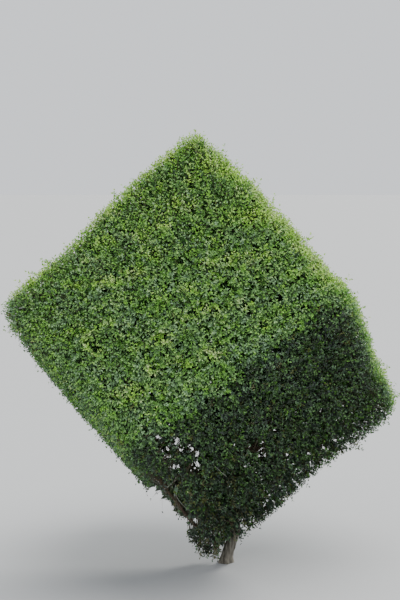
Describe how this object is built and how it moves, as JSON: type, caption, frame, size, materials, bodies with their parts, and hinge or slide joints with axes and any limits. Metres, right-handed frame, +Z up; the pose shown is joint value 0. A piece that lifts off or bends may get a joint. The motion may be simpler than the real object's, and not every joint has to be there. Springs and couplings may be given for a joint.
{
  "type": "clipped cube topiary shrub",
  "caption": "Small-leaved evergreen shrub on one short leaning trunk, clipped as a cube that stands on one corner.",
  "frame": {"origin": "middle of the flat cut under the trunk, at ground level", "axes": "+Z up; -Y towards the viewer of the picture; +X to that viewer's right"},
  "size_m": [1.52, 1.4281, 1.7272],
  "materials": {
    "bark": "rough",
    "bough_bark": "rough",
    "foliage": "satin",
    "foliage_shade": "satin"
  },
  "bodies": {
    "root": {"trunk": "bark", "bough_upper_front": "bough_bark", "bough_upper_right": "bough_bark", "bough_upper_left": "bough_bark", "bough_lower_right": "bough_bark", "bough_lower_back": "bough_bark", "bough_lower_left": "bough_bark", "foliage_upper_front": "foliage", "foliage_upper_right": "foliage", "foliage_upper_left": "foliage", "foliage_lower_right": "foliage_shade", "foliage_lower_back": "foliage_shade", "foliage_lower_left": "foliage_shade"}
  },
  "joints": []
}
